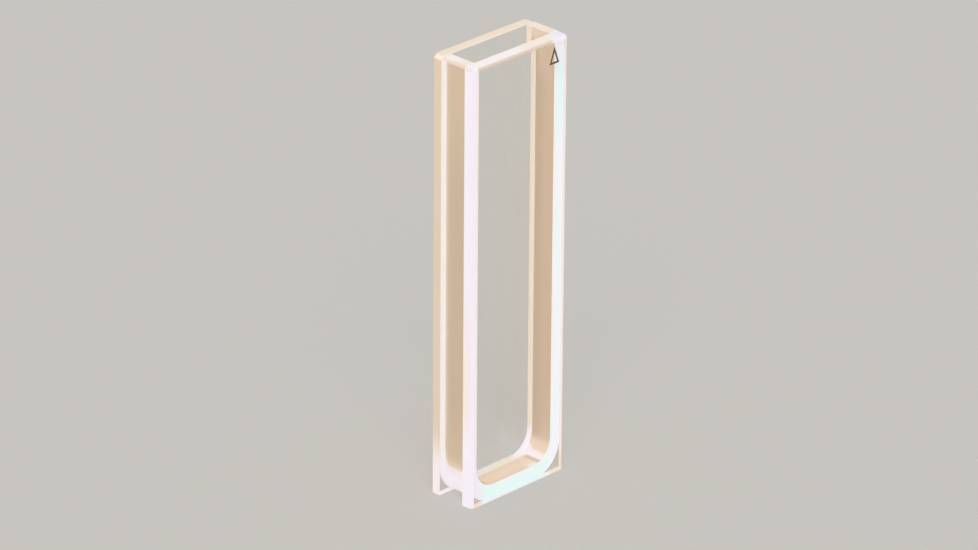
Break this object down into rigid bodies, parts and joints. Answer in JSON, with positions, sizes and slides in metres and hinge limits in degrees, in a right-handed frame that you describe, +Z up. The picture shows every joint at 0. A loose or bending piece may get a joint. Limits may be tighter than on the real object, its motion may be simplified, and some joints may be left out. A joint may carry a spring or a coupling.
{
  "type": "cuvette",
  "caption": "Narrow clear cuvette with a short light path: flat windows fused to a frosted U-shaped frame with rounded foot corners, open at the top.",
  "frame": {"origin": "centre of the base, on the surface the cell stands on", "axes": "+Z up to the open rim, X across the width, Y along the light path with the front window at -Y"},
  "size_m": [0.0126, 0.0054, 0.045],
  "materials": {
    "clear_quartz": "polished, clear",
    "frosted_quartz": "fine ground, frosted",
    "ground_quartz": "ground edges and bevels",
    "mark_ink": "matt fired ink"
  },
  "bodies": {
    "root": {"front_window": "clear_quartz", "rear_window": "clear_quartz", "u_frame": "frosted_quartz"}
  },
  "joints": []
}
